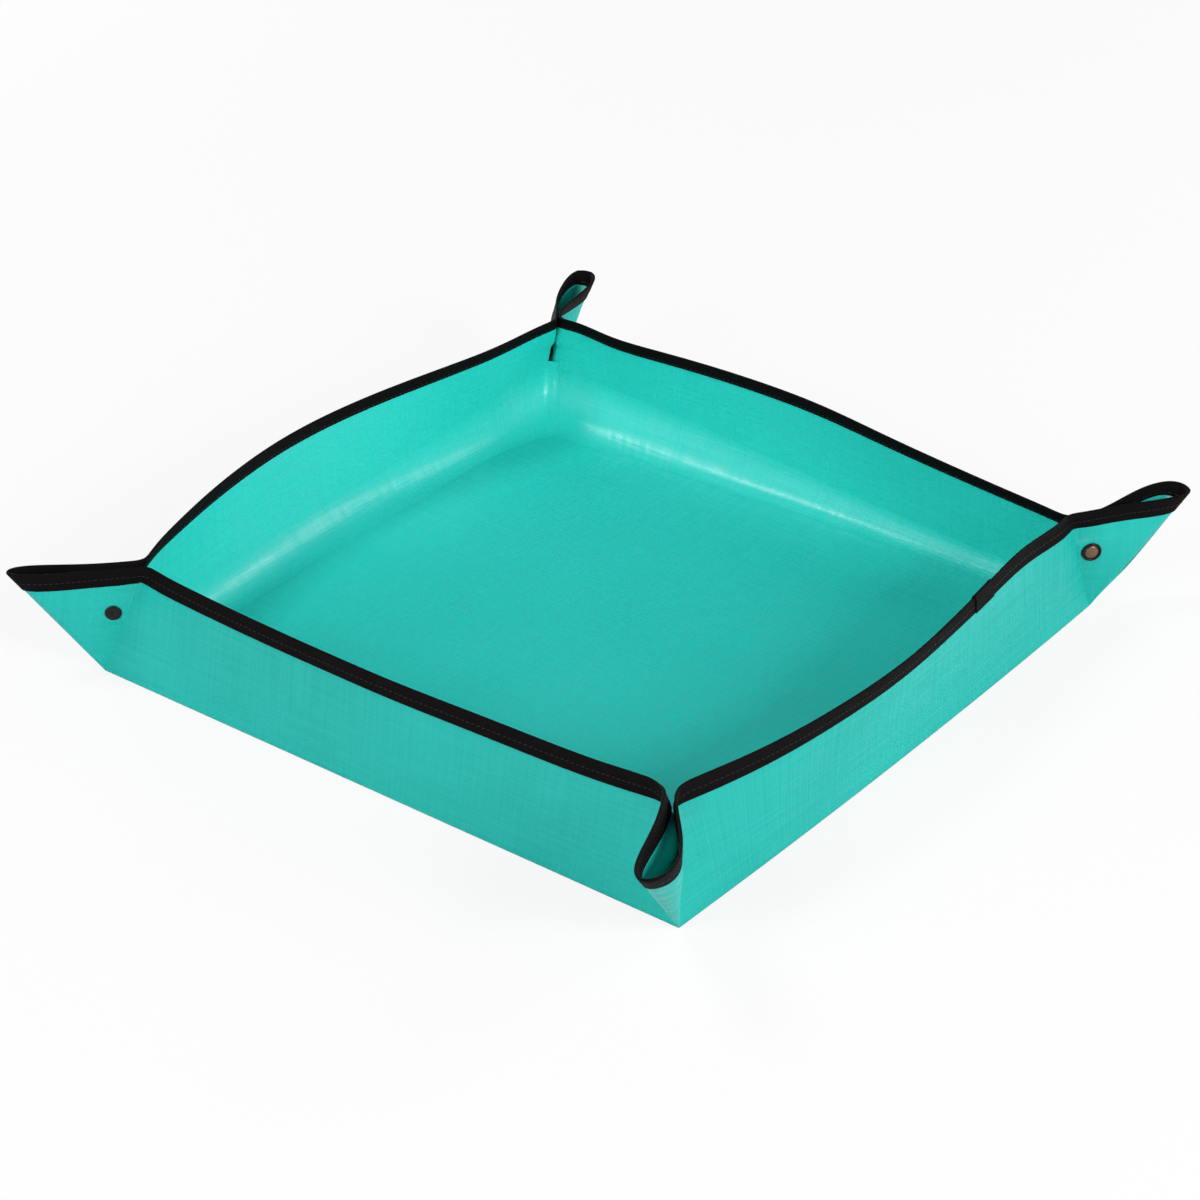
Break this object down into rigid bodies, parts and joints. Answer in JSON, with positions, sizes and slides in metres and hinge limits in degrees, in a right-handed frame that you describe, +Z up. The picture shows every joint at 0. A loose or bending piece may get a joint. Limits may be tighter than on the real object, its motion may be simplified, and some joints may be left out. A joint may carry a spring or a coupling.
{
  "type": "repotting mat",
  "caption": "Square coated sheet with bound edges whose corners snap together into ears, making a shallow tray that folds flat.",
  "frame": {"origin": "middle of the base's underside", "axes": "+Z up out of the tray, -Y the front wall, +X the right wall"},
  "size_m": [0.6067, 0.6587, 0.0914],
  "materials": {
    "coated_sheet": "teal woven polyethylene with a glossy coating",
    "binding_tape": "black woven binding tape",
    "snap_metal": "dark gunmetal plate"
  },
  "bodies": {
    "base": {"base_panel": "coated_sheet"},
    "front_wall": {"front_wall": "coated_sheet", "front_wall_binding": "binding_tape"},
    "right_wall": {"right_wall": "coated_sheet", "right_wall_binding": "binding_tape"},
    "back_wall": {"back_wall": "coated_sheet", "back_wall_binding": "binding_tape"},
    "left_wall": {"left_wall": "coated_sheet", "left_wall_binding": "binding_tape"},
    "front_right_ear_front": {"front_right_ear_front_flap": "coated_sheet", "front_right_ear_front_binding": "binding_tape", "front_right_snap_cap": "snap_metal", "front_right_snap_socket": "snap_metal"},
    "front_right_ear_right": {"front_right_ear_right_flap": "coated_sheet", "front_right_ear_right_binding": "binding_tape", "front_right_snap_post": "snap_metal", "front_right_snap_stud": "snap_metal"},
    "back_right_ear_right": {"back_right_ear_right_flap": "coated_sheet", "back_right_ear_right_binding": "binding_tape", "back_right_snap_cap": "snap_metal", "back_right_snap_socket": "snap_metal"},
    "back_right_ear_back": {"back_right_ear_back_flap": "coated_sheet", "back_right_ear_back_binding": "binding_tape", "back_right_snap_post": "snap_metal", "back_right_snap_stud": "snap_metal"},
    "back_left_ear_back": {"back_left_ear_back_flap": "coated_sheet", "back_left_ear_back_binding": "binding_tape", "back_left_snap_cap": "snap_metal", "back_left_snap_socket": "snap_metal"},
    "back_left_ear_left": {"back_left_ear_left_flap": "coated_sheet", "back_left_ear_left_binding": "binding_tape", "back_left_snap_post": "snap_metal", "back_left_snap_stud": "snap_metal"},
    "front_left_ear_left": {"front_left_ear_left_flap": "coated_sheet", "front_left_ear_left_binding": "binding_tape", "front_left_snap_cap": "snap_metal", "front_left_snap_socket": "snap_metal"},
    "front_left_ear_front": {"front_left_ear_front_flap": "coated_sheet", "front_left_ear_front_binding": "binding_tape", "front_left_snap_post": "snap_metal", "front_left_snap_stud": "snap_metal"}
  },
  "joints": [
    {"name": "front_wall_fold", "type": "hinge", "parent": "base", "child": "front_wall", "pos_m": [0, -0.254, 0.0009], "axis": [1, 0, 0], "range_deg": [0, 104.37]},
    {"name": "right_wall_fold", "type": "hinge", "parent": "base", "child": "right_wall", "pos_m": [0.254, 0, 0.0009], "axis": [0, 1, 0], "range_deg": [0, 104.37]},
    {"name": "back_wall_fold", "type": "hinge", "parent": "base", "child": "back_wall", "pos_m": [0, 0.254, 0.0009], "axis": [-1, 0, 0], "range_deg": [0, 104.37]},
    {"name": "left_wall_fold", "type": "hinge", "parent": "base", "child": "left_wall", "pos_m": [-0.254, 0, 0.0009], "axis": [0, -1, 0], "range_deg": [0, 104.37]},
    {"name": "front_right_ear_front_fold", "type": "hinge", "parent": "front_wall", "child": "front_right_ear_front", "pos_m": [0.254, -0.254, 0.0009], "axis": [-0.2995, 0.2368, 0.9242], "range_deg": [0, 45.39]},
    {"name": "front_right_ear_right_fold", "type": "hinge", "parent": "right_wall", "child": "front_right_ear_right", "pos_m": [0.254, -0.254, 0.0009], "axis": [0.2368, -0.2995, -0.9242], "range_deg": [0, 45.39]},
    {"name": "back_right_ear_right_fold", "type": "hinge", "parent": "right_wall", "child": "back_right_ear_right", "pos_m": [0.254, 0.254, 0.0009], "axis": [-0.2368, -0.2995, 0.9242], "range_deg": [0, 45.39]},
    {"name": "back_right_ear_back_fold", "type": "hinge", "parent": "back_wall", "child": "back_right_ear_back", "pos_m": [0.254, 0.254, 0.0009], "axis": [0.2995, 0.2368, -0.9242], "range_deg": [0, 45.39]},
    {"name": "back_left_ear_back_fold", "type": "hinge", "parent": "back_wall", "child": "back_left_ear_back", "pos_m": [-0.254, 0.254, 0.0009], "axis": [0.2995, -0.2368, 0.9242], "range_deg": [0, 45.39]},
    {"name": "back_left_ear_left_fold", "type": "hinge", "parent": "left_wall", "child": "back_left_ear_left", "pos_m": [-0.254, 0.254, 0.0009], "axis": [-0.2368, 0.2995, -0.9242], "range_deg": [0, 45.39]},
    {"name": "front_left_ear_left_fold", "type": "hinge", "parent": "left_wall", "child": "front_left_ear_left", "pos_m": [-0.254, -0.254, 0.0009], "axis": [0.2368, 0.2995, 0.9242], "range_deg": [0, 45.39]},
    {"name": "front_left_ear_front_fold", "type": "hinge", "parent": "front_wall", "child": "front_left_ear_front", "pos_m": [-0.254, -0.254, 0.0009], "axis": [-0.2995, -0.2368, -0.9242], "range_deg": [0, 45.39]}
  ],
  "couplings": [
    {"joint": "right_wall_fold", "follows": "front_wall_fold", "ratio": 1},
    {"joint": "back_wall_fold", "follows": "front_wall_fold", "ratio": 1},
    {"joint": "left_wall_fold", "follows": "front_wall_fold", "ratio": 1},
    {"joint": "front_right_ear_front_fold", "follows": "front_wall_fold", "ratio": 0.43483},
    {"joint": "front_right_ear_right_fold", "follows": "front_wall_fold", "ratio": 0.43483},
    {"joint": "back_right_ear_right_fold", "follows": "front_wall_fold", "ratio": 0.43483},
    {"joint": "back_right_ear_back_fold", "follows": "front_wall_fold", "ratio": 0.43483},
    {"joint": "back_left_ear_back_fold", "follows": "front_wall_fold", "ratio": 0.43483},
    {"joint": "back_left_ear_left_fold", "follows": "front_wall_fold", "ratio": 0.43483},
    {"joint": "front_left_ear_left_fold", "follows": "front_wall_fold", "ratio": 0.43483},
    {"joint": "front_left_ear_front_fold", "follows": "front_wall_fold", "ratio": 0.43483}
  ]
}
